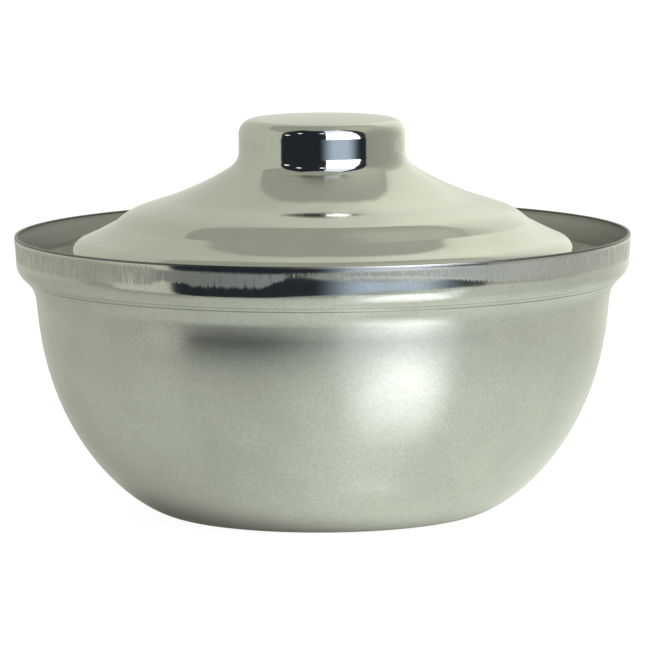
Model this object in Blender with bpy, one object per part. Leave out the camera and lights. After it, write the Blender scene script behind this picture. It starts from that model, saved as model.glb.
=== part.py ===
"""A small lidded camping pot, turned from its outlines.

The pot is two pressings. The bowl is drawn from one sheet: a flat base, a round wall, and a
wider collar that stands on a sloping ledge. The lid is drawn from another: a hollow knob, a
dome, a stepped shelf, a flat flange and a short skirt that sits on the bowl's ledge.

Lengths are in metres, +Z is up, and the origin is the centre of the base. An outline is a list
of (radius, height) points on the outer face of a sheet, with the metal to the left of its
direction.
"""

import math

import bmesh
import bpy
from mathutils import Vector

# Bowl, outer face
BOWL_SHEET = 0.0007
BOWL_HEIGHT = 0.0684
BASE_RADIUS = 0.0370
COLLAR_RADIUS = 0.0750
COLLAR_HEIGHT = 0.0132
COLLAR_FLARE = 0.0004
COLLAR_FILLET = 0.0039
LEDGE_WIDTH = 0.0048
LEDGE_RISE = 0.0046
CREASE_FILLET = 0.0008
# The wall's two control points between the base and the crease, out and up
WALL_LOW_SHARES = (0.55, 0.083)
WALL_HIGH_SHARES = (0.99, 0.54)

# Fit of the lid in the bowl
SEAT_CLEARANCE = 0.0003
SEAT_SHARE = 0.44

# Lid, outer face: widths run inward from the skirt, and rises run upward from its lower edge
LID_SHEET = 0.0006
SKIRT_HEIGHT = 0.0045
SKIRT_FILLET = 0.0016
FLANGE_WIDTH = 0.0093
FOOT_FILLET = 0.0010
SHOULDER_INSET = 0.0017
SHOULDER_RISE = 0.0047
SHOULDER_FILLET = 0.0088
SHELF_WIDTH = 0.0098
SHELF_RISE = 0.0039
STEP_FILLET = 0.0008
STEP_WIDTH = 0.0032
STEP_RISE = 0.0032
DOME_FILLET = 0.0140
DOME_RISE = 0.0068
NECK_FILLET = 0.0360
NECK_RISE = 0.0055
NECK_WIDTH = 0.0068
KNOB_RADIUS = 0.0204
KNOB_FOOT_FILLET = 0.0042
KNOB_HEIGHT = 0.0097
KNOB_EDGE_FILLET = 0.0032
CROWN_RISE = 0.0011
CROWN_FILLET = 0.1700
CROWN_SHARE = 0.45

# Fineness of the turned meshes
TURN_STEPS = 60
WALL_STEPS = 12
ARC_STEP_DEGREES = 18
LEAST_ARC_STEPS = 3
SHARP_DEGREES = 40
WELD_SHARE = 0.01

# Finish of each piece: red, green, blue, roughness
BOWL_FINISH = (0.60, 0.62, 0.55, 0.32)
LID_FINISH = (0.66, 0.68, 0.62, 0.14)


def clear_scene():
    """Start from an empty scene."""
    for old in list(bpy.data.objects):
        bpy.data.objects.remove(old, do_unlink=True)


def metal(name, finish):
    """A bare metal with a colour and a roughness."""
    material = bpy.data.materials.new(name)
    material.use_nodes = True
    shader = material.node_tree.nodes["Principled BSDF"]
    shader.inputs["Base Color"].default_value = (*finish[:3], 1)
    shader.inputs["Roughness"].default_value = finish[3]
    shader.inputs["Metallic"].default_value = 1
    return material


def cubic(start, low, high, end, steps):
    """Points along a cubic curve, both ends included."""
    points = []
    for i in range(steps + 1):
        t = i / steps
        s = 1 - t
        points.append(start * s**3 + low * 3 * s * s * t + high * 3 * s * t * t + end * t**3)
    return points


def rounded(corners):
    """Points along a line with an arc at each corner, given as (radius, height, fillet).

    An arc that doesn't fit in what is left of the lines beside it is made as large as fits.
    """
    points = [Vector(corners[0][:2])]
    for corner, after in zip(corners[1:-1], corners[2:]):
        tip = Vector(corner[:2])
        back = points[-1] - tip
        ahead = Vector(after[:2]) - tip
        turn = math.pi - back.angle(ahead)
        reach = min(corner[2] * math.tan(turn / 2), back.length, ahead.length)
        first = tip + back.normalized() * reach
        last = tip + ahead.normalized() * reach
        centre = tip + (first + last - 2 * tip) / (2 * math.sin(turn / 2) ** 2)
        steps = max(LEAST_ARC_STEPS, math.ceil(math.degrees(turn) / ARC_STEP_DEGREES))
        spoke = first - centre
        side = 1 if back.cross(ahead) < 0 else -1
        for i in range(steps + 1):
            angle = side * turn * i / steps
            across = Vector((-spoke.y, spoke.x))
            point = centre + spoke * math.cos(angle) + across * math.sin(angle)
            if (point - points[-1]).length > reach * WELD_SHARE:
                points.append(point)
    points.append(Vector(corners[-1][:2]))
    return points


def inner_face(outline, sheet):
    """The outline moved by the sheet's thickness, to the left of its direction."""
    inner = []
    for i, point in enumerate(outline):
        ends = outline[max(i - 1, 0):i + 2]
        runs = [after - before for before, after in zip(ends, ends[1:])]
        sides = [Vector((-run.y, run.x)).normalized() for run in runs]
        middle = sum(sides, Vector((0, 0))).normalized()
        inner.append(point + middle * sheet / middle.dot(sides[0]))
    # One end is on the axis, and the other is cut level at the free edge
    for i in (0, -1):
        if outline[i].x == 0:
            inner[i].x = 0
        else:
            inner[i].y = outline[i].y
    return inner


def turned(name, outline, sheet, material):
    """A sheet-metal piece: the section between an outline and its inner face, turned about Z."""
    inner = inner_face(outline, sheet)[::-1]
    # The section runs round the free edge, from the axis back to the axis
    section = outline + inner if outline[0].x == 0 else inner + outline
    mesh_maker = bmesh.new()
    verts = [mesh_maker.verts.new((point.x, 0, point.y)) for point in section]
    edges = [mesh_maker.edges.new(pair) for pair in zip(verts, verts[1:])]
    bmesh.ops.spin(
        mesh_maker,
        geom=verts + edges,
        cent=(0, 0, 0),
        axis=(0, 0, 1),
        angle=2 * math.pi,
        steps=TURN_STEPS,
        use_merge=True,
    )
    bmesh.ops.remove_doubles(mesh_maker, verts=mesh_maker.verts, dist=sheet * WELD_SHARE)
    bmesh.ops.recalc_face_normals(mesh_maker, faces=mesh_maker.faces)
    mesh = bpy.data.meshes.new(name)
    mesh_maker.to_mesh(mesh)
    mesh_maker.free()
    mesh.shade_smooth()
    mesh.set_sharp_from_angle(angle=math.radians(SHARP_DEGREES))
    mesh.materials.append(material)
    piece = bpy.data.objects.new(name, mesh)
    bpy.context.collection.objects.link(piece)
    return piece


def bowl_outline():
    """The bowl's outer face, from the centre of the base to the rim."""
    neck_radius = COLLAR_RADIUS - LEDGE_WIDTH
    neck_height = BOWL_HEIGHT - COLLAR_HEIGHT
    span = Vector((neck_radius - BASE_RADIUS, neck_height))
    start = Vector((BASE_RADIUS, 0))
    low = start + span * Vector(WALL_LOW_SHARES)
    high = start + span * Vector(WALL_HIGH_SHARES)
    neck = start + span
    wall = cubic(start, low, high, neck, WALL_STEPS)
    collar = rounded([
        (*wall[-2], 0),
        (*neck, CREASE_FILLET),
        (COLLAR_RADIUS, neck_height + LEDGE_RISE, COLLAR_FILLET),
        (COLLAR_RADIUS + COLLAR_FLARE, BOWL_HEIGHT, 0),
    ])
    return [Vector((0, 0))] + wall[:-2] + collar


def skirt_radius():
    """The lid's outer radius, partway out along the ledge inside the bowl."""
    return COLLAR_RADIUS - BOWL_SHEET - LEDGE_WIDTH * (1 - SEAT_SHARE)


def seat_height():
    """The height of the lid's lower edge, the clearance above the ledge's inner face."""
    slope = Vector((LEDGE_WIDTH, LEDGE_RISE))
    stand_off = (BOWL_SHEET + SEAT_CLEARANCE) * slope.length / LEDGE_WIDTH
    run = skirt_radius() - (COLLAR_RADIUS - LEDGE_WIDTH)
    return BOWL_HEIGHT - COLLAR_HEIGHT + run * LEDGE_RISE / LEDGE_WIDTH + stand_off


def lid_outline():
    """The lid's outer face, from the skirt's lower edge at height 0 to the top of the knob."""
    skirt = skirt_radius()
    foot = skirt - FLANGE_WIDTH
    shoulder = foot - SHOULDER_INSET
    step_foot = shoulder - SHELF_WIDTH
    dome_edge = step_foot - STEP_WIDTH
    neck = KNOB_RADIUS + NECK_WIDTH
    shoulder_height = SKIRT_HEIGHT + SHOULDER_RISE
    step_foot_height = shoulder_height + SHELF_RISE
    dome_edge_height = step_foot_height + STEP_RISE
    neck_height = dome_edge_height + DOME_RISE
    knob_foot_height = neck_height + NECK_RISE
    knob_edge_height = knob_foot_height + KNOB_HEIGHT
    crown_height = knob_edge_height + CROWN_RISE
    return rounded([
        (skirt, 0, 0),
        (skirt, SKIRT_HEIGHT, SKIRT_FILLET),
        (foot, SKIRT_HEIGHT, FOOT_FILLET),
        (shoulder, shoulder_height, SHOULDER_FILLET),
        (step_foot, step_foot_height, STEP_FILLET),
        (dome_edge, dome_edge_height, DOME_FILLET),
        (neck, neck_height, NECK_FILLET),
        (KNOB_RADIUS, knob_foot_height, KNOB_FOOT_FILLET),
        (KNOB_RADIUS, knob_edge_height, KNOB_EDGE_FILLET),
        (KNOB_RADIUS * CROWN_SHARE, crown_height, CROWN_FILLET),
        (0, crown_height, 0),
    ])


def make_bowl(pot):
    """The drawn bowl."""
    bowl = turned("bowl", bowl_outline(), BOWL_SHEET, metal("satin_steel", BOWL_FINISH))
    bowl.parent = pot
    return bowl


def make_lid(pot):
    """The pressed lid, with its origin on the axis that it lifts along."""
    lid = turned("lid", lid_outline(), LID_SHEET, metal("polished_steel", LID_FINISH))
    lid.parent = pot
    lid.location = (0, 0, seat_height())
    return lid


clear_scene()
camping_pot = bpy.data.objects.new("camping_pot", None)
bpy.context.collection.objects.link(camping_pot)
make_bowl(camping_pot)
make_lid(camping_pot)
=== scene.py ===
"""Looks of the camping pot: two finely turned steel shells, their finish, and a light tent.

Lengths are in metres, +Z is up, and the pot stands at the origin. An outline is a list of
(radius, height) points on the outer face of a sheet, with the metal to the left of its
direction. Azimuths are 0 towards the camera and positive to its right, and the named ones are
in degrees.
"""

import math

import bmesh
import bpy
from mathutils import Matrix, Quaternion, Vector, noise


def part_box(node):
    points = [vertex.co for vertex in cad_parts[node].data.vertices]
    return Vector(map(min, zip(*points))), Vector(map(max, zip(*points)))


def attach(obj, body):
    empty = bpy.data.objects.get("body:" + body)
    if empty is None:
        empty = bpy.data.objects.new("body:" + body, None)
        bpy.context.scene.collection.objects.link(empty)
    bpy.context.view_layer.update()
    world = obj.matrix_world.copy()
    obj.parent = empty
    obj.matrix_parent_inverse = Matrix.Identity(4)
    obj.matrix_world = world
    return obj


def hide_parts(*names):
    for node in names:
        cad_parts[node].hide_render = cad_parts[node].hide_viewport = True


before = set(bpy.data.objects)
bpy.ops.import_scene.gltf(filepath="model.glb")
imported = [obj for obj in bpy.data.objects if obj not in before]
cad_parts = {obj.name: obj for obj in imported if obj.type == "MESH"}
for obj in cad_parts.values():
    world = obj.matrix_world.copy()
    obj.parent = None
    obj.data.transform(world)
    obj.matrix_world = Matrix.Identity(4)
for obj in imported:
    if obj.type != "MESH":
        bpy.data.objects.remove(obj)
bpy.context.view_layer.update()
bowl_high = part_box("bowl")[1]
lid_low, lid_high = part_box("lid")

# Angles in degrees
HALF_TURN = 180
FULL_TURN = 360
ZENITH = 90

# Bowl, outer face: corners of its collar and wall, as (in from the rim, down from the rim)
BOWL_SHEET = 0.0007
BOWL_HEIGHT = bowl_high.z
RIM_RADIUS = bowl_high.x
BASE_RADIUS = 0.0370
WAIST = (0.00033, 0.0034)
WAIST_FILLET = 0.022
COLLAR_FOOT = (0.00048, 0.0085)
COLLAR_FILLET = 0.0048
CREASE = (0.00478, 0.01291)
CREASE_FILLET = 0.0062
WALL_BEND = (0.00541, 0.0168)
WALL_BEND_FILLET = 0.045
WALL_TOP = (0.00564, 0.0195)
# The wall's two control points, as shares of the way out and up from the base to the wall's top
WALL_LOW_SHARES = (0.2178, 0)
WALL_HIGH_SHARES = (0.9006, 0.309)

# The rim leans in at its top, and its edge is broken
RIM_LEAN_HEIGHT = 0.00078
RIM_LEAN_WIDTH = 0.00015
RIM_LEAN_FILLET = 0.0044
RIM_OUTER_FILLET = 0.00042
RIM_INNER_FILLET = 0.00016

# Two fine tool lines on the ledge, each as how far up the ledge it lies, as a share, its depth,
# and how much a darker colour along it covers the metal
GROOVES = ((0.43, 0.00008, 0.42), (0.62, 0.00004, 0.16))
GROOVE_WIDTH = 0.00032
GROOVE_FILLET = 0.00008
GROOVE_LINE_SHADE = 0.12

# Lid, outer face: widths run inward from the skirt, and rises run upward from its lower edge
LID_SHEET = 0.0006
LID_SEAT = lid_low.z
LID_RADIUS = lid_high.x
SKIRT_HEIGHT = 0.0045
SKIRT_FILLET = 0.0016
SKIRT_EDGE_FILLET = 0.00015
FLANGE_WIDTH = 0.0088
FOOT_FILLET = 0.0010
SHOULDER_INSET = 0.0010
SHOULDER_RISE = 0.00398
SHOULDER_FILLET = 0.0070
SHELF_WIDTH = 0.0110
SHELF_RISE = 0.00482
# Where the shelf bends, as shares of its width and rise
SHELF_BEND_SHARES = (0.555, 0.493)
SHELF_BEND_FILLET = 0.050
STEP_FILLET = 0.0008
STEP_WIDTH = 0.0032
STEP_RISE = 0.00267
# Above its edge the dome slopes steadily, flattens a little in a dip and rises in the neck, a
# curve whose control points are at shares of its chord from its ends
DOME_FILLET = 0.0140
DOME_WIDTH = 0.0054
DOME_SLOPE = math.radians(19.5)
DIP_FILLET = 0.120
DIP_WIDTH = 0.0033
DIP_SLOPE = math.radians(17.35)
NECK_WIDTH = 0.0157
NECK_RISE = 0.00733
NECK_SLOPE = math.radians(33.3)
NECK_LOW_SHARE = 0.228
NECK_HIGH_SHARE = 0.305
KNOB_RADIUS = 0.0204
KNOB_FOOT_FILLET = 0.0047
KNOB_HEIGHT = 0.01011
KNOB_EDGE_FILLET = 0.0038
CROWN_RISE = 0.0010
CROWN_FILLET = 0.1700
# Where the crown bends, as a share of the knob's radius
CROWN_SHARE = 0.45

# The collar is a little out of true: a wave, a swell above the ledge that comes and goes by
# azimuth, in multiples of its depth, and one small dent in the front
WAVE_DEPTH = 0.00006
WAVES_PER_RADIUS = 3
WAVE_HEIGHT_SHARE = 0.5
SWELL_DEPTH = 0.00005
SWELL_HEIGHT = 0.0609
SWELL_REACH = 0.0009
SWELL_STOPS = (
    (-90, 0), (-40, -1), (-26, -1), (-22, 1), (-12, 1), (-4, -0.4), (12, -1.1), (20, -1.3),
    (26, -2.2), (33, -3.0), (45, -2), (60, -1), (90, 0),
)
DENT_AZIMUTH = -31.2
DENT_HEIGHT = 0.0637
DENT_RADIUS = 0.0011
DENT_DEPTH = 0.00006

# Steel. A brushing is its roughness, how far the lines change that, and the lines' relief. A
# patchiness is its brightest shade, and the darkest share of that in clouds and in fine grain
STEEL_TINT = (0.62, 0.63, 0.57)
BOWL_BRUSH = (0.24, 0.14, 0.07)
LID_BRUSH = (0.07, 0.03, 0.02)
BOWL_PATCHES = (1.09, 0.92, 0.88)
LID_PATCHES = (1.01, 0.95, 0.97)
INSIDE_SHADE = 0.68
INSIDE_ROUGHNESS = 0.38
ANISOTROPY = 0.35
ANISOTROPY_TURN = 0.25
RELIEF_DEPTH = 0.00005

# Its patterns as noises: features per metre, detail and roughness. Round the piece the lines'
# noise runs at a small share of that pace, which draws them out
LINES = (6000, 3, 0.6)
CLOUDS = (60, 3, 0.55)
GRAINS = (1500, 3, 0.7)
LINE_TURN_SHARE = 0.02
# The middle of a noise, and the values taken as its darkest and its brightest
NOISE_MIDDLE = 0.5
NOISE_SPREAD = (0.3, 0.7)

# The polish of the collar: the heights between which it sets in, and its least and most
# roughness, which follow the clouds between two values of their noise
POLISH_HEIGHTS = (0.0563, 0.0578)
COLLAR_CLOUD_SPREAD = (0.35, 0.65)
COLLAR_ROUGHNESS = (0.085, 0.115)

# A darker band round the top of the rim: its height, tint and roughness
EDGE_HEIGHT = 0.0005
EDGE_TINT = (0.17, 0.17, 0.16)
EDGE_ROUGHNESS = 0.35

# Upright scuffs on the outside of the collar. A stop is an azimuth, how far down from the rim
# they start and end there, as shares of their reach, how much they cover, and their shade. That
# shade is partly the scuffs' own grey and partly painted shade and light: painted darker across
# the front and towards the lamp, and lighter on the left and at the back
SCUFF_ROUGHNESS = 0.50
SCUFF_METAL = 0.85
SCUFF_REACH = 0.0064
SCUFF_AND_SHADE_STOPS = (
    (-180, 0.14, 0.90, 0.5, 0.75), (-60, 0.14, 0.95, 0.5, 0.80), (-33, 0.16, 0.92, 0.6, 0.75),
    (-31, 0.27, 0.75, 1, 0.60), (-26, 0.27, 0.75, 1, 0.56), (-24, 0.26, 0.87, 1, 0.54),
    (-11, 0.29, 0.87, 1, 0.52), (-8, 0.29, 0.62, 0.6, 0.46), (-5, 0.25, 0.40, 0.25, 0.36),
    (2, 0.22, 0.42, 0.3, 0.33), (5, 0.16, 0.46, 0.8, 0.33), (14, 0.15, 0.52, 0.9, 0.33),
    (24, 0.15, 0.64, 0.8, 0.36), (29, 0.15, 0.78, 0.8, 0.40), (34, 0.15, 0.90, 0.7, 0.48),
    (38, 0.15, 0.92, 0.6, 0.56), (90, 0.15, 0.94, 0.5, 0.66),
)
SCUFF_SOFTNESS = 0.0011
SCUFF_RAGGEDNESS = 0.0018
SCUFF_CONTRAST = 0.17
# The value of the streaks' noise above which a scuff shows, with no cover and with full cover
SCUFF_THRESHOLDS = (0.62, 0.30)
STREAKS = (2600, 2, 0.6)
STREAK_HEIGHT_SHARE = 0.05

# The light tent, by azimuth and elevation in degrees. A range of either is where it starts and
# ends, and how softly
TENT_TINT = (0.97, 1.0, 0.87)
TENT_WALL_SHADES = (
    (-180, 0.76), (-165, 0.66), (-120, 0.66), (-60, 0.68), (62, 0.42), (75, 0.45), (104, 0.49),
    (114, 0.55), (124, 0.60), (136, 0.74), (150, 1.00), (168, 1.08), (176, 0.84), (180, 0.76),
)
CEILING_EDGES = (
    (-180, 53.0), (-172, 51.2), (-167, 49.3), (-158, 47.5), (-135, 48.5), (-90, 47.0), (0, 47.0),
    (137, 45.5), (160, 46.0), (166, 47.5), (170, 50.0), (175, 52.0), (180, 53.0),
)
CEILING_SOFTNESS = 2
CEILING_SHADE = 0.47
GLOW_AZIMUTHS = (50, 160, 50)
GLOW_ELEVATIONS = (45, 78, 20)
GLOW_SHADE = 0.66
# The open front, and what is seen through it
OPENING_AZIMUTHS = (-58.5, 63.5, 2)
OPENING_ELEVATIONS = (-95, 74, 4)
# It widens between two elevations, from one share to another
OPENING_WIDENING = (10, 60, 1, 1.2)
ROOM_COLOUR = (0.024, 0.030, 0.040, 1)
DAYLIGHT_COLOUR = (0.60, 0.72, 0.92, 1)
DAYLIGHT_AZIMUTHS = (7, 44, 22)
DAYLIGHT_ELEVATIONS = (-40, 8, 6)
HALO_COLOUR = (1.25, 1.35, 1.70, 1)
HALO_AZIMUTHS = (7, 60, 6)
HALO_ELEVATIONS = (50, 80, 3)
# Small lights in the dark room, as azimuth and elevation
ROOM_LIGHTS = ((-40, 50), (0, 53), (-54, 33))
ROOM_LIGHT_WIDTH = 7
ROOM_LIGHT_RISE = 5
ROOM_LIGHT_SOFTNESS = 1
ROOM_LIGHT_SHADE = 2

# The soft lamp, upright and facing the pot, as a wide panel and a brighter middle; each is
# shape, azimuth, width, height, height of its centre, distance and shade
LAMP_ROLL = math.radians(-1)
LAMP_COLOUR = (0.98, 1.0, 1.08)
LAMP_PARTS = {
    "panel": ("RECTANGLE", 30.4, 0.62, 0.86, 0.600, 0.702, 4),
    "middle": ("ELLIPSE", 34, 0.48, 0.60, 0.520, 0.690, 15),
}

# The floor for the camera, and under it the table that the metal reflects
FLOOR_REACH = 3
FLOOR_DROP = 0.0001
FLOOR_LIT_SHADE = 0.16
FLOOR_EVEN_SHADE = 0.95
TABLE_DROP = 0.0002
TABLE_CORNERS = (
    (-0.9, -0.06), (-0.25, -0.085), (-0.068, -0.19), (0.0, -0.29), (0.121, -0.33),
    (0.20, -0.28), (0.26, -0.20), (0.45, 0.15), (0.9, 0.5), (0.9, 0.9), (-0.9, 0.9),
)
TABLE_TINT = (0.955, 1.0, 0.885)
TABLE_SHADE = 0.18
TABLE_ROUGHNESS = 0.18
TABLE_IOR = 1.38
# Its glow is painted light that stands for the lamp's light on the sheet: close to the pot and
# far from it, as where in x it starts and stops changing, and the shade at each; then the
# distances between which near turns to far
TABLE_NEAR_GLOW = (-0.045, 0.020, 0.345, 0.55)
TABLE_FAR_GLOW = (-0.25, 0.12, 0.25, 0.36)
TABLE_NEAR_REACH = (0.06, 0.22)
# Towards its slanting front edge its painted light dims, down to a share of its glow
TABLE_EDGE_SLOPE = 0.58
TABLE_EDGE_REACH = (-0.24, -0.145)
TABLE_EDGE_SHARE = 0.32
# The contact shadow under the pot
TABLE_SHADOW_GLOW = 0.10
TABLE_SHADOW_CENTRE = (-0.006, 0.004)
TABLE_SHADOW_REACH = (0.039, 0.053)

# Fineness of the turned meshes
TURN_STEPS = 320
WALL_STEPS = 48
NECK_STEPS = 24
ARC_STEP_DEGREES = 5
LEAST_ARC_STEPS = 4
LONGEST_STEP = 0.0012
WELD_SHARE = 0.01

# The photographed camera, with its lens and sensor in millimetres
CAMERA_LENS = 344.09
CAMERA_SENSOR = 36
CAMERA_PLACE = Vector((-0.00013, -1.5, 0.228825))
CAMERA_TILT = math.radians(83.06)
CAMERA_ROLL = math.radians(-0.34)


def cubic(start, low, high, end, steps):
    """Points along a cubic curve, both ends included."""
    points = []
    for i in range(steps + 1):
        t = i / steps
        s = 1 - t
        points.append(start * s**3 + low * 3 * s * s * t + high * 3 * s * t * t + end * t**3)
    return points


def rounded(corners):
    """Points along a line with an arc at each corner, given as (radius, height, fillet).

    An arc too large for its corner is made as large as fits.
    """
    points = [Vector(corners[0][:2])]
    for corner, after in zip(corners[1:-1], corners[2:]):
        tip = Vector(corner[:2])
        back = points[-1] - tip
        ahead = Vector(after[:2]) - tip
        turn = math.pi - back.angle(ahead)
        reach = min(corner[2] * math.tan(turn / 2), back.length, ahead.length)
        first = tip + back.normalized() * reach
        last = tip + ahead.normalized() * reach
        centre = tip + (first + last - 2 * tip) / (2 * math.sin(turn / 2) ** 2)
        steps = max(LEAST_ARC_STEPS, math.ceil(math.degrees(turn) / ARC_STEP_DEGREES))
        spoke = first - centre
        side = 1 if back.cross(ahead) < 0 else -1
        for i in range(steps + 1):
            angle = side * turn * i / steps
            across = Vector((-spoke.y, spoke.x))
            point = centre + spoke * math.cos(angle) + across * math.sin(angle)
            if (point - points[-1]).length > reach * WELD_SHARE:
                points.append(point)
    points.append(Vector(corners[-1][:2]))
    return points


def inner_face(outline, sheet):
    """The outline moved by the sheet's thickness, to the left of its direction."""
    inner = []
    for i, point in enumerate(outline):
        ends = outline[max(i - 1, 0):i + 2]
        runs = [after - before for before, after in zip(ends, ends[1:])]
        sides = [Vector((-run.y, run.x)).normalized() for run in runs]
        middle = sum(sides, Vector((0, 0))).normalized()
        inner.append(point + middle * sheet / middle.dot(sides[0]))
    # An end on the axis stays on it, and a free edge is cut level
    for i in (0, -1):
        if outline[i].x == 0:
            inner[i].x = 0
        else:
            inner[i].y = outline[i].y
    return inner


def length(points):
    """The length of a line."""
    return sum((after - before).length for before, after in zip(points, points[1:]))


def subdivided(points, longest):
    """The same line with no step longer than the given length."""
    fine = [points[0]]
    for before, after in zip(points, points[1:]):
        count = max(1, math.ceil((after - before).length / longest))
        fine += [before.lerp(after, i / count) for i in range(1, count + 1)]
    return fine


def grooves(start, end):
    """Corners of shallow grooves cut into the straight line from start to end."""
    along = (end - start).normalized()
    inward = Vector((-along.y, along.x))
    corners = []
    for share, depth, _ in GROOVES:
        middle = start.lerp(end, share)
        for step, sunk in ((-1, 0), (0, depth), (1, 0)):
            point = middle + along * step * GROOVE_WIDTH / 2 + inward * sunk
            corners.append((*point, GROOVE_FILLET))
    return corners


def bowl_outline():
    """The bowl's outer face, from the centre of the base to the rim's lean."""
    rim = Vector((RIM_RADIUS, BOWL_HEIGHT))
    waist, collar_foot, crease, wall_bend, wall_top = (
        rim - Vector(offset) for offset in (WAIST, COLLAR_FOOT, CREASE, WALL_BEND, WALL_TOP)
    )
    start = Vector((BASE_RADIUS, 0))
    span = wall_top - start
    low = start + span * Vector(WALL_LOW_SHARES)
    high = start + span * Vector(WALL_HIGH_SHARES)
    wall = cubic(start, low, high, wall_top, WALL_STEPS)
    collar = rounded([
        (*wall_top, 0),
        (*wall_bend, WALL_BEND_FILLET),
        (*crease, CREASE_FILLET),
        *grooves(crease, collar_foot),
        (*collar_foot, COLLAR_FILLET),
        (*waist, WAIST_FILLET),
        (RIM_RADIUS, BOWL_HEIGHT - RIM_LEAN_HEIGHT, RIM_LEAN_FILLET),
        (RIM_RADIUS - RIM_LEAN_WIDTH, BOWL_HEIGHT, 0),
    ])
    return [Vector((0, 0))] + wall[:-1] + collar


def uphill(width, slope):
    """The way in towards the axis and up, by a width and a slope."""
    return Vector((-width, width * math.tan(slope)))


def lid_outline():
    """The lid's outer face, from the skirt's lower edge to the top of the knob."""
    foot = LID_RADIUS - FLANGE_WIDTH
    shoulder = foot - SHOULDER_INSET
    step_foot = shoulder - SHELF_WIDTH
    dome_edge = step_foot - STEP_WIDTH
    shoulder_height = SKIRT_HEIGHT + SHOULDER_RISE
    step_foot_height = shoulder_height + SHELF_RISE
    dome_edge_height = step_foot_height + STEP_RISE
    shelf_bend = Vector((shoulder, shoulder_height)) + (
        Vector((-SHELF_WIDTH, SHELF_RISE)) * Vector(SHELF_BEND_SHARES)
    )
    dome_top = Vector((dome_edge, dome_edge_height)) + uphill(DOME_WIDTH, DOME_SLOPE)
    dip = dome_top + uphill(DIP_WIDTH, DIP_SLOPE)
    neck_top = dip + Vector((-NECK_WIDTH, NECK_RISE))
    knob_foot = neck_top + uphill(neck_top.x - KNOB_RADIUS, NECK_SLOPE)
    knob_edge_height = knob_foot.y + KNOB_HEIGHT
    crown_height = knob_edge_height + CROWN_RISE
    lower = rounded([
        (LID_RADIUS, 0, 0),
        (LID_RADIUS, SKIRT_HEIGHT, SKIRT_FILLET),
        (foot, SKIRT_HEIGHT, FOOT_FILLET),
        (shoulder, shoulder_height, SHOULDER_FILLET),
        (*shelf_bend, SHELF_BEND_FILLET),
        (step_foot, step_foot_height, STEP_FILLET),
        (dome_edge, dome_edge_height, DOME_FILLET),
        (*dome_top, DIP_FILLET),
        (*dip, 0),
    ])
    chord = (neck_top - dip).length
    neck = cubic(
        dip,
        dip + uphill(1, DIP_SLOPE).normalized() * chord * NECK_LOW_SHARE,
        neck_top - uphill(1, NECK_SLOPE).normalized() * chord * NECK_HIGH_SHARE,
        neck_top,
        NECK_STEPS,
    )
    upper = rounded([
        (*neck_top, 0),
        (*knob_foot, KNOB_FOOT_FILLET),
        (KNOB_RADIUS, knob_edge_height, KNOB_EDGE_FILLET),
        (KNOB_RADIUS * CROWN_SHARE, crown_height, CROWN_FILLET),
        (0, crown_height, 0),
    ])
    return [point + Vector((0, LID_SEAT)) for point in lower + neck[1:-1] + upper]


def turned(name, section, uneven):
    """A closed mesh turned about Z from a section that starts and ends on the axis.

    uneven(azimuth, point) gives how far a point of the section is pushed out there, at an
    azimuth in radians. The distance along the section is kept on the mesh, for brushing that
    runs round the piece.
    """
    mesh_maker = bmesh.new()
    distance = mesh_maker.verts.layers.float.new("along")
    rings = []
    along = 0
    for i, point in enumerate(section):
        along += (point - section[max(i - 1, 0)]).length
        on_axis = i in (0, len(section) - 1)
        ring = []
        for j in range(1 if on_axis else TURN_STEPS):
            azimuth = 2 * math.pi * j / TURN_STEPS
            radius = point.x + (0 if on_axis else uneven(azimuth, point))
            place = (radius * math.sin(azimuth), -radius * math.cos(azimuth), point.y)
            vert = mesh_maker.verts.new(place)
            vert[distance] = along
            ring.append(vert)
        rings.append(ring)
    for ring, after in zip(rings, rings[1:]):
        for j in range(TURN_STEPS):
            k = (j + 1) % TURN_STEPS
            if len(ring) == 1:
                corners = (ring[0], after[j], after[k])
            elif len(after) == 1:
                corners = (ring[j], after[0], ring[k])
            else:
                corners = (ring[j], after[j], after[k], ring[k])
            mesh_maker.faces.new(corners)
    bmesh.ops.recalc_face_normals(mesh_maker, faces=mesh_maker.faces)
    mesh = bpy.data.meshes.new(name)
    mesh_maker.to_mesh(mesh)
    mesh_maker.free()
    mesh.shade_smooth()
    piece = bpy.data.objects.new(name, mesh)
    bpy.context.scene.collection.objects.link(piece)
    return piece


def add_camera():
    """The photographed view."""
    data = bpy.data.cameras.new("camera")
    data.lens = CAMERA_LENS
    data.sensor_width = CAMERA_SENSOR
    camera = bpy.data.objects.new("camera", data)
    camera.rotation_mode = "QUATERNION"
    camera.rotation_quaternion = (
        Quaternion((1, 0, 0), CAMERA_TILT) @ Quaternion((0, 0, 1), CAMERA_ROLL)
    )
    camera.location = CAMERA_PLACE
    bpy.context.scene.collection.objects.link(camera)
    bpy.context.scene.camera = camera


def no_unevenness(azimuth, point):
    """A piece that is truly round."""
    return 0


def stepped(place, stops):
    """The value at a place, eased between (place, value) stops, and 0 beyond them."""
    for (start, first), (end, last) in zip(stops, stops[1:]):
        if start <= place <= end:
            share = (place - start) / (end - start)
            return first + (last - first) * share * share * (3 - 2 * share)
    return 0


def collar_unevenness(azimuth, point):
    """The collar is a little out of true, and its front carries one small dent."""
    share = (point.y - BOWL_HEIGHT + CREASE[1]) / CREASE[1]
    if share <= 0:
        return 0
    around = Vector((math.cos(azimuth), math.sin(azimuth), share * WAVE_HEIGHT_SHARE))
    wave = WAVE_DEPTH * noise.noise(around * WAVES_PER_RADIUS)
    degrees = (math.degrees(azimuth) + HALF_TURN) % FULL_TURN - HALF_TURN
    height = (point.y - SWELL_HEIGHT) / SWELL_REACH
    swell = SWELL_DEPTH * stepped(degrees, SWELL_STOPS) * math.exp(-height * height)
    turn = math.radians(degrees - DENT_AZIMUTH)
    away = Vector((turn * RIM_RADIUS, point.y - DENT_HEIGHT)).length / DENT_RADIUS
    return wave * min(1, share) + swell - DENT_DEPTH * math.exp(-away * away)


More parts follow.
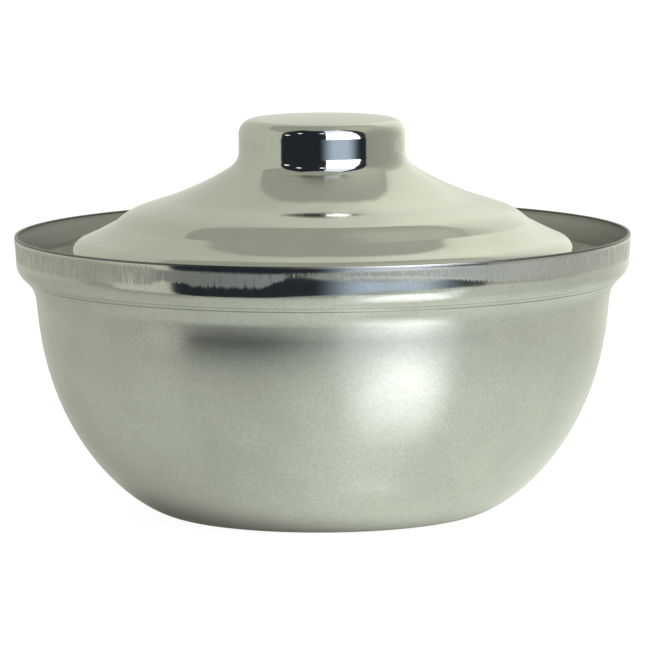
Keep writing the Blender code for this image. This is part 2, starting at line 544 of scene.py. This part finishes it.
def make_bowl():
    """The drawn bowl, with its rim rounded between the outer and the inner face."""
    outer = bowl_outline()
    inner = inner_face(outer, BOWL_SHEET)
    rim = rounded([
        (*outer[-2], 0),
        (*outer[-1], RIM_OUTER_FILLET),
        (*inner[-1], RIM_INNER_FILLET),
        (*inner[-2], 0),
    ])
    section = subdivided(outer[:-2] + rim + inner[-3::-1], LONGEST_STEP)
    bowl = turned("bowl_shell", section, collar_unevenness)
    bowl.data.materials.append(satin_steel(length(outer) + BOWL_SHEET / 2))
    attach(bowl, "bowl")
    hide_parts("bowl")


def make_lid():
    """The pressed lid, with its skirt's edge rounded."""
    outer = lid_outline()
    inner = inner_face(outer, LID_SHEET)
    edge = rounded([
        (*inner[1], 0),
        (*inner[0], SKIRT_EDGE_FILLET),
        (*outer[0], SKIRT_EDGE_FILLET),
        (*outer[1], 0),
    ])
    section = subdivided(inner[:1:-1] + edge + outer[2:], LONGEST_STEP)
    lid = turned("lid_shell", section, no_unevenness)
    lid.data.materials.append(polished_steel())
    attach(lid, "lid")
    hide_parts("lid")


class Nodes:
    """Short calls that add nodes to a node tree and return the output wanted."""

    def __init__(self, tree):
        self.tree = tree
        tree.nodes.clear()

    def node(self, kind, inputs=(), **settings):
        """A node with its settings; inputs is pairs of socket and value or other output."""
        node = self.tree.nodes.new(kind)
        for key, value in settings.items():
            setattr(node, key, value)
        for socket, value in inputs:
            if isinstance(value, bpy.types.NodeSocket):
                self.tree.links.new(value, node.inputs[socket])
            else:
                node.inputs[socket].default_value = value
        return node

    def add(self, kind, inputs=(), output=0, **settings):
        """The output of a new node."""
        return self.node(kind, inputs, **settings).outputs[output]

    def math(self, operation, *values):
        """The result of one operation on numbers."""
        return self.add("ShaderNodeMath", list(enumerate(values)), operation=operation)

    def between(self, value, low, high, soft):
        """1 where value is from low to high, with edges that fade over soft."""
        rise = self.ramp(value, low - soft / 2, low + soft / 2)
        fall = self.ramp(value, high - soft / 2, high + soft / 2)
        return self.math("MULTIPLY", rise, self.math("SUBTRACT", 1, fall))

    def around(self, value, middle, width, soft):
        """1 where value is within half a width of middle, with edges that fade over soft."""
        return self.between(value, middle - width / 2, middle + width / 2, soft)

    def ramp(self, value, start, end, first=0, last=1):
        """A smooth change from first to last as value goes from start to end."""
        inputs = [("Value", value), ("From Min", start), ("From Max", end)]
        inputs += [("To Min", first), ("To Max", last)]
        return self.add("ShaderNodeMapRange", inputs, interpolation_type="SMOOTHSTEP")

    def mix(self, share, first, second):
        """A colour between two colours."""
        inputs = [(0, share), (6, first), (7, second)]
        return self.add("ShaderNodeMix", inputs, 2, data_type="RGBA")

    def blend(self, share, first, second):
        """A number between two numbers."""
        return self.add("ShaderNodeMix", [(0, share), (2, first), (3, second)])

    def parts(self, vector):
        """The three parts of a vector or a colour."""
        return self.node("ShaderNodeSeparateXYZ", [(0, vector)]).outputs

    def distance(self, x, y):
        """The length of (x, y)."""
        squares = [self.math("MULTIPLY", part, part) for part in (x, y)]
        return self.math("SQRT", self.math("ADD", *squares))

    def azimuth(self, x, y):
        """The direction round the axis, 0 towards the camera."""
        return self.math("DEGREES", self.math("ARCTAN2", x, self.math("MULTIPLY", y, -1)))

    def by_azimuth(self, azimuth, stops):
        """The colour there, eased between stops of (azimuth, colour)."""
        ramp = self.node("ShaderNodeValToRGB", [
            (0, self.math("DIVIDE", self.math("ADD", azimuth, HALF_TURN), FULL_TURN)),
        ])
        ramp.color_ramp.interpolation = "EASE"
        elements = ramp.color_ramp.elements
        for i, (turn, colour) in enumerate(stops):
            element = elements[i] if i < len(elements) else elements.new(1)
            element.position = (turn + HALF_TURN) / FULL_TURN
            element.color = colour
        return ramp.outputs[0]

    def noise(self, vector, scale, detail, rough):
        """A noise with so many features in a unit of the vector."""
        inputs = [("Vector", vector), ("Scale", scale), ("Detail", detail)]
        inputs += [("Roughness", rough)]
        return self.add("ShaderNodeTexNoise", inputs)


def grey(level):
    """A grey of a given level."""
    return (level, level, level, 1)


def tinted(level, tint):
    """A tint at a given level."""
    return (*(level * part for part in tint), 1)


def add_world():
    """A light tent whose front is open to a dark room, seen only in the metal.

    The camera sees plain white. Everything else is written as shades by direction.
    """
    world = bpy.data.worlds.new("tent")
    world.use_nodes = True
    bpy.context.scene.world = world
    nodes = Nodes(world.node_tree)
    direction = nodes.add("ShaderNodeTexCoord", output="Generated")
    x, y, z = nodes.parts(direction)
    azimuth = nodes.azimuth(x, y)
    elevation = nodes.math("DEGREES", nodes.math("ARCSINE", z))

    # Tent walls, by azimuth, up to the ceiling
    walls = nodes.by_azimuth(azimuth, [
        (turn, tinted(shade, TENT_TINT)) for turn, shade in TENT_WALL_SHADES
    ])
    # A colour carries the height of the ceiling's edge, as a share of the zenith's
    edges = nodes.parts(nodes.by_azimuth(azimuth, [
        (turn, grey(height / ZENITH)) for turn, height in CEILING_EDGES
    ]))
    above_edge = nodes.math("SUBTRACT", elevation, nodes.math("MULTIPLY", edges[0], ZENITH))
    ceiling_share = nodes.ramp(above_edge, -CEILING_SOFTNESS / 2, CEILING_SOFTNESS / 2)
    tent = nodes.mix(ceiling_share, walls, tinted(CEILING_SHADE, TENT_TINT))

    # The glow round the lamp on the tent's upper right
    glow_share = nodes.math(
        "MULTIPLY",
        nodes.between(azimuth, *GLOW_AZIMUTHS),
        nodes.between(elevation, *GLOW_ELEVATIONS),
    )
    tent = nodes.mix(glow_share, tent, tinted(GLOW_SHADE, TENT_TINT))

    # Through the open front: dark room on the left, bluish daylight low on the right
    daylight = nodes.between(azimuth, *DAYLIGHT_AZIMUTHS)
    low_down = nodes.between(elevation, *DAYLIGHT_ELEVATIONS)
    room = nodes.mix(nodes.math("MULTIPLY", daylight, low_down), ROOM_COLOUR, DAYLIGHT_COLOUR)
    # The lamp's glow on the cloth above it
    halo = nodes.math(
        "MULTIPLY",
        nodes.between(azimuth, *HALO_AZIMUTHS),
        nodes.between(elevation, *HALO_ELEVATIONS),
    )
    room = nodes.mix(halo, room, HALO_COLOUR)
    for turn, height in ROOM_LIGHTS:
        spot = nodes.math(
            "MULTIPLY",
            nodes.around(azimuth, turn, ROOM_LIGHT_WIDTH, ROOM_LIGHT_SOFTNESS),
            nodes.around(elevation, height, ROOM_LIGHT_RISE, ROOM_LIGHT_SOFTNESS),
        )
        room = nodes.mix(spot, room, grey(ROOM_LIGHT_SHADE))
    # The opening is wider at its top
    narrowed = nodes.math("DIVIDE", azimuth, nodes.ramp(elevation, *OPENING_WIDENING))
    open_share = nodes.math(
        "MULTIPLY",
        nodes.between(narrowed, *OPENING_AZIMUTHS),
        nodes.between(elevation, *OPENING_ELEVATIONS),
    )
    seen = nodes.mix(open_share, tent, room)

    camera_ray = nodes.add("ShaderNodeLightPath", output="Is Camera Ray")
    colour = nodes.mix(camera_ray, seen, grey(1))
    background = nodes.add("ShaderNodeBackground", [("Color", colour), ("Strength", 1)])
    nodes.node("ShaderNodeOutputWorld", [("Surface", background)])


def add_lamp(name, shape, azimuth, width, height, centre_height, distance, shade):
    """A soft lamp, upright, in front and to the right."""
    data = bpy.data.lights.new(name, "AREA")
    data.shape = shape
    data.size = width
    data.size_y = height
    area = width * height * (math.pi / 4 if shape == "ELLIPSE" else 1)
    data.energy = shade * math.pi * area
    data.color = LAMP_COLOUR
    lamp = bpy.data.objects.new(name, data)
    turn = math.radians(azimuth)
    away = Vector((math.sin(turn), -math.cos(turn), 0))
    lamp.location = away * distance + Vector((0, 0, centre_height))
    lamp.rotation_mode = "QUATERNION"
    lamp.rotation_quaternion = away.to_track_quat("Z", "Y") @ Quaternion((0, 0, 1), LAMP_ROLL)
    lamp.visible_camera = False
    bpy.context.scene.collection.objects.link(lamp)


def stage_plane(name, corners, height, material):
    """A level face that is part of the stage."""
    mesh = bpy.data.meshes.new(name)
    mesh.from_pydata([(x, y, height) for x, y in corners], [], [range(len(corners))])
    mesh.materials.append(material)
    plane = bpy.data.objects.new(name, mesh)
    bpy.context.scene.collection.objects.link(plane)
    return plane


def floor_material():
    """White for the camera, with a faint shadow."""
    material = bpy.data.materials.new("floor_white")
    material.use_nodes = True
    nodes = Nodes(material.node_tree)
    lit = nodes.add("ShaderNodeBsdfDiffuse", [("Color", grey(FLOOR_LIT_SHADE))])
    even = nodes.add("ShaderNodeEmission", [("Color", grey(FLOOR_EVEN_SHADE)), ("Strength", 1)])
    both = nodes.add("ShaderNodeAddShader", [(0, lit), (1, even)])
    nodes.node("ShaderNodeOutputMaterial", [("Surface", both)])
    return material


def table_material():
    """The glossy white sheet that the pot stands on, as the metal sees it."""
    material = bpy.data.materials.new("table_gloss")
    material.use_nodes = True
    nodes = Nodes(material.node_tree)
    x, y, _ = nodes.parts(nodes.add("ShaderNodeTexCoord", output="Object"))
    # Painted light: brighter on its right, most of all close to the pot
    glow = nodes.blend(
        nodes.ramp(nodes.distance(x, y), *TABLE_NEAR_REACH),
        nodes.ramp(x, *TABLE_NEAR_GLOW),
        nodes.ramp(x, *TABLE_FAR_GLOW),
    )
    # The painted light dims towards its front edge
    from_edge = nodes.math("ADD", y, nodes.math("MULTIPLY", x, TABLE_EDGE_SLOPE))
    dimmed = nodes.ramp(from_edge, *TABLE_EDGE_REACH, TABLE_EDGE_SHARE, 1)
    glow = nodes.math("MULTIPLY", glow, dimmed)
    # The contact shadow under the pot
    across = nodes.math("SUBTRACT", x, TABLE_SHADOW_CENTRE[0])
    back = nodes.math("SUBTRACT", y, TABLE_SHADOW_CENTRE[1])
    lit = nodes.ramp(nodes.distance(across, back), *TABLE_SHADOW_REACH)
    glow = nodes.blend(lit, TABLE_SHADOW_GLOW, glow)
    surface = nodes.add("ShaderNodeBsdfPrincipled", [
        ("Base Color", tinted(TABLE_SHADE, TABLE_TINT)),
        ("Roughness", TABLE_ROUGHNESS),
        ("IOR", TABLE_IOR),
        ("Emission Color", nodes.mix(glow, grey(0), tinted(1, TABLE_TINT))),
        ("Emission Strength", 1),
    ])
    nodes.node("ShaderNodeOutputMaterial", [("Surface", surface)])
    return material


def add_stage():
    """The floor that the camera sees, and the table that the metal sees."""
    ends = (-FLOOR_REACH, FLOOR_REACH)
    corners = [(x, y if x < 0 else -y) for x in ends for y in ends]
    floor = stage_plane("floor", corners, -FLOOR_DROP, floor_material())
    floor.visible_glossy = False
    floor.visible_diffuse = False
    floor.visible_shadow = False
    table = stage_plane("table", TABLE_CORNERS, -TABLE_DROP, table_material())
    table.visible_camera = False
    table.visible_shadow = False


class Steel:
    """Bare steel, turned on a lathe: fine lines that run round it, in gloss and in relief."""

    def __init__(self, name, brushed, patches):
        self.rough, self.rough_change, self.relief = brushed
        self.brightest, self.cloud_dark, self.grain_dark = patches
        self.material = bpy.data.materials.new(name)
        self.material.use_nodes = True
        self.nodes = nodes = Nodes(self.material.node_tree)
        self.place = nodes.add("ShaderNodeTexCoord", output="Object")
        self.x, self.y, self.height = nodes.parts(self.place)
        self.along = nodes.add("ShaderNodeAttribute", output="Fac", attribute_name="along")
        lines_place = nodes.add("ShaderNodeCombineXYZ", [
            ("X", nodes.math("MULTIPLY", self.x, LINE_TURN_SHARE)),
            ("Y", nodes.math("MULTIPLY", self.y, LINE_TURN_SHARE)),
            ("Z", self.along),
        ])
        self.lines = nodes.noise(lines_place, *LINES)
        self.cloud = nodes.noise(self.place, *CLOUDS)
        self.grain = nodes.noise(self.place, *GRAINS)

    def brushed_roughness(self):
        """The roughness as the turned lines change it."""
        change = self.nodes.math("SUBTRACT", self.lines, NOISE_MIDDLE)
        change = self.nodes.math("MULTIPLY", change, self.rough_change)
        return self.nodes.math("ADD", self.rough, change)

    def finish(self, colour, roughness, height, metal=1):
        """The shader, from its colour, its roughness, its height map and its share of metal."""
        nodes = self.nodes
        bump = nodes.add("ShaderNodeBump", [
            ("Strength", self.relief), ("Distance", RELIEF_DEPTH), ("Height", height),
        ])
        tangent = nodes.add("ShaderNodeTangent", direction_type="RADIAL", axis="Z")
        surface = nodes.add("ShaderNodeBsdfPrincipled", [
            ("Base Color", colour),
            ("Metallic", metal),
            ("Roughness", roughness),
            ("Anisotropic", ANISOTROPY),
            ("Anisotropic Rotation", ANISOTROPY_TURN),
            ("Normal", bump),
            ("Tangent", tangent),
        ])
        nodes.node("ShaderNodeOutputMaterial", [("Surface", surface)])
        return self.material

    def clouded_colour(self):
        """The steel's colour, a little darker in clouds and in fine grain."""
        clouds = self.nodes.ramp(self.cloud, *NOISE_SPREAD, self.cloud_dark, 1)
        grains = self.nodes.ramp(self.grain, *NOISE_SPREAD, self.grain_dark, 1)
        share = self.nodes.math("MULTIPLY", clouds, grains)
        return self.nodes.mix(share, grey(0), tinted(self.brightest, STEEL_TINT))


def add_scuffs(steel):
    """How much of the collar is scuffed at a point, the scuffs' own pattern, and their colour,
    which carries painted shade and light by azimuth.
    """
    nodes = steel.nodes
    azimuth = nodes.azimuth(steel.x, steel.y)
    starts, ends, covers = nodes.parts(nodes.by_azimuth(azimuth, [
        (turn, (start, end, cover, 1)) for turn, start, end, cover, _ in SCUFF_AND_SHADE_STOPS
    ]))
    # The scuffs' colour by azimuth: their grey, with painted shade across the front and towards
    # the lamp, and painted light on the left
    colour = nodes.by_azimuth(azimuth, [
        (turn, tinted(shade, STEEL_TINT)) for turn, *_, shade in SCUFF_AND_SHADE_STOPS
    ])
    down = nodes.math("SUBTRACT", BOWL_HEIGHT, steel.height)
    streak_place = nodes.add("ShaderNodeCombineXYZ", [
        ("X", steel.x),
        ("Y", steel.y),
        ("Z", nodes.math("MULTIPLY", steel.height, STREAK_HEIGHT_SHARE)),
    ])
    streaks = nodes.noise(streak_place, *STREAKS)
    # Each streak ends at its own height
    ragged = nodes.math("SUBTRACT", streaks, NOISE_MIDDLE)
    ragged = nodes.math("MULTIPLY", ragged, SCUFF_RAGGEDNESS)
    from_start = nodes.math("SUBTRACT", down, nodes.math("MULTIPLY", starts, SCUFF_REACH))
    below_start = nodes.ramp(from_start, -SCUFF_SOFTNESS / 2, SCUFF_SOFTNESS / 2)
    end = nodes.math("ADD", nodes.math("MULTIPLY", ends, SCUFF_REACH), ragged)
    above_end = nodes.ramp(nodes.math("SUBTRACT", end, down), 0, SCUFF_SOFTNESS)
    zone = nodes.math("MULTIPLY", below_start, above_end)
    least = nodes.ramp(covers, 0, 1, *SCUFF_THRESHOLDS)
    shown = nodes.math("SUBTRACT", streaks, least)
    shown = nodes.ramp(shown, -SCUFF_CONTRAST, SCUFF_CONTRAST)
    return nodes.math("MULTIPLY", zone, shown), streaks, colour


def satin_steel(rim_along):
    """The bowl: satin wall, polished collar with scuffs whose shade by azimuth is partly painted
    shade and light, a darker band round the rim's top, and a darker, rougher inside.

    rim_along is the distance along the section at which the outside ends.
    """
    steel = Steel("satin_steel", BOWL_BRUSH, BOWL_PATCHES)
    nodes = steel.nodes
    polish = nodes.ramp(steel.height, *POLISH_HEIGHTS)
    bright = nodes.ramp(steel.cloud, *COLLAR_CLOUD_SPREAD, *COLLAR_ROUGHNESS)
    inside = nodes.math("GREATER_THAN", steel.along, rim_along)
    scuffed, streaks, scuff_wear_and_shade = add_scuffs(steel)
    scuffed = nodes.math("MULTIPLY", scuffed, nodes.math("SUBTRACT", 1, inside))
    collar = nodes.blend(scuffed, bright, SCUFF_ROUGHNESS)
    roughness = nodes.blend(polish, steel.brushed_roughness(), collar)
    # A darker, rougher band round the rim's top
    edge = nodes.math("GREATER_THAN", steel.height, BOWL_HEIGHT - EDGE_HEIGHT)
    roughness = nodes.blend(inside, roughness, INSIDE_ROUGHNESS)
    roughness = nodes.blend(edge, roughness, EDGE_ROUGHNESS)
    # The scuffs' colour holds their grey and the painted shade and light by azimuth
    colour = nodes.mix(scuffed, steel.clouded_colour(), scuff_wear_and_shade)
    metal = nodes.blend(scuffed, 1, SCUFF_METAL)
    # Each tool line is coloured darker along its length
    for share, _, darkening in GROOVES:
        down = CREASE[1] + (COLLAR_FOOT[1] - CREASE[1]) * share
        low = BOWL_HEIGHT - down - GROOVE_WIDTH / 2
        line = nodes.between(steel.height, low, low + GROOVE_WIDTH, GROOVE_WIDTH / 2)
        line = nodes.math("MULTIPLY", line, darkening)
        colour = nodes.mix(line, colour, tinted(GROOVE_LINE_SHADE, STEEL_TINT))
    colour = nodes.mix(inside, colour, tinted(INSIDE_SHADE, STEEL_TINT))
    colour = nodes.mix(edge, colour, tinted(1, EDGE_TINT))
    relief = nodes.blend(nodes.math("MULTIPLY", polish, scuffed), steel.lines, streaks)
    return steel.finish(colour, roughness, relief, metal)


def polished_steel():
    """The lid: bright, with faint lines that run round it."""
    steel = Steel("polished_steel", LID_BRUSH, LID_PATCHES)
    return steel.finish(steel.clouded_colour(), steel.brushed_roughness(), steel.lines)


add_camera()
add_world()
for part, settings in LAMP_PARTS.items():
    add_lamp(part, *settings)
add_stage()
make_bowl()
make_lid()
bpy.context.scene.view_settings.view_transform = "Standard"
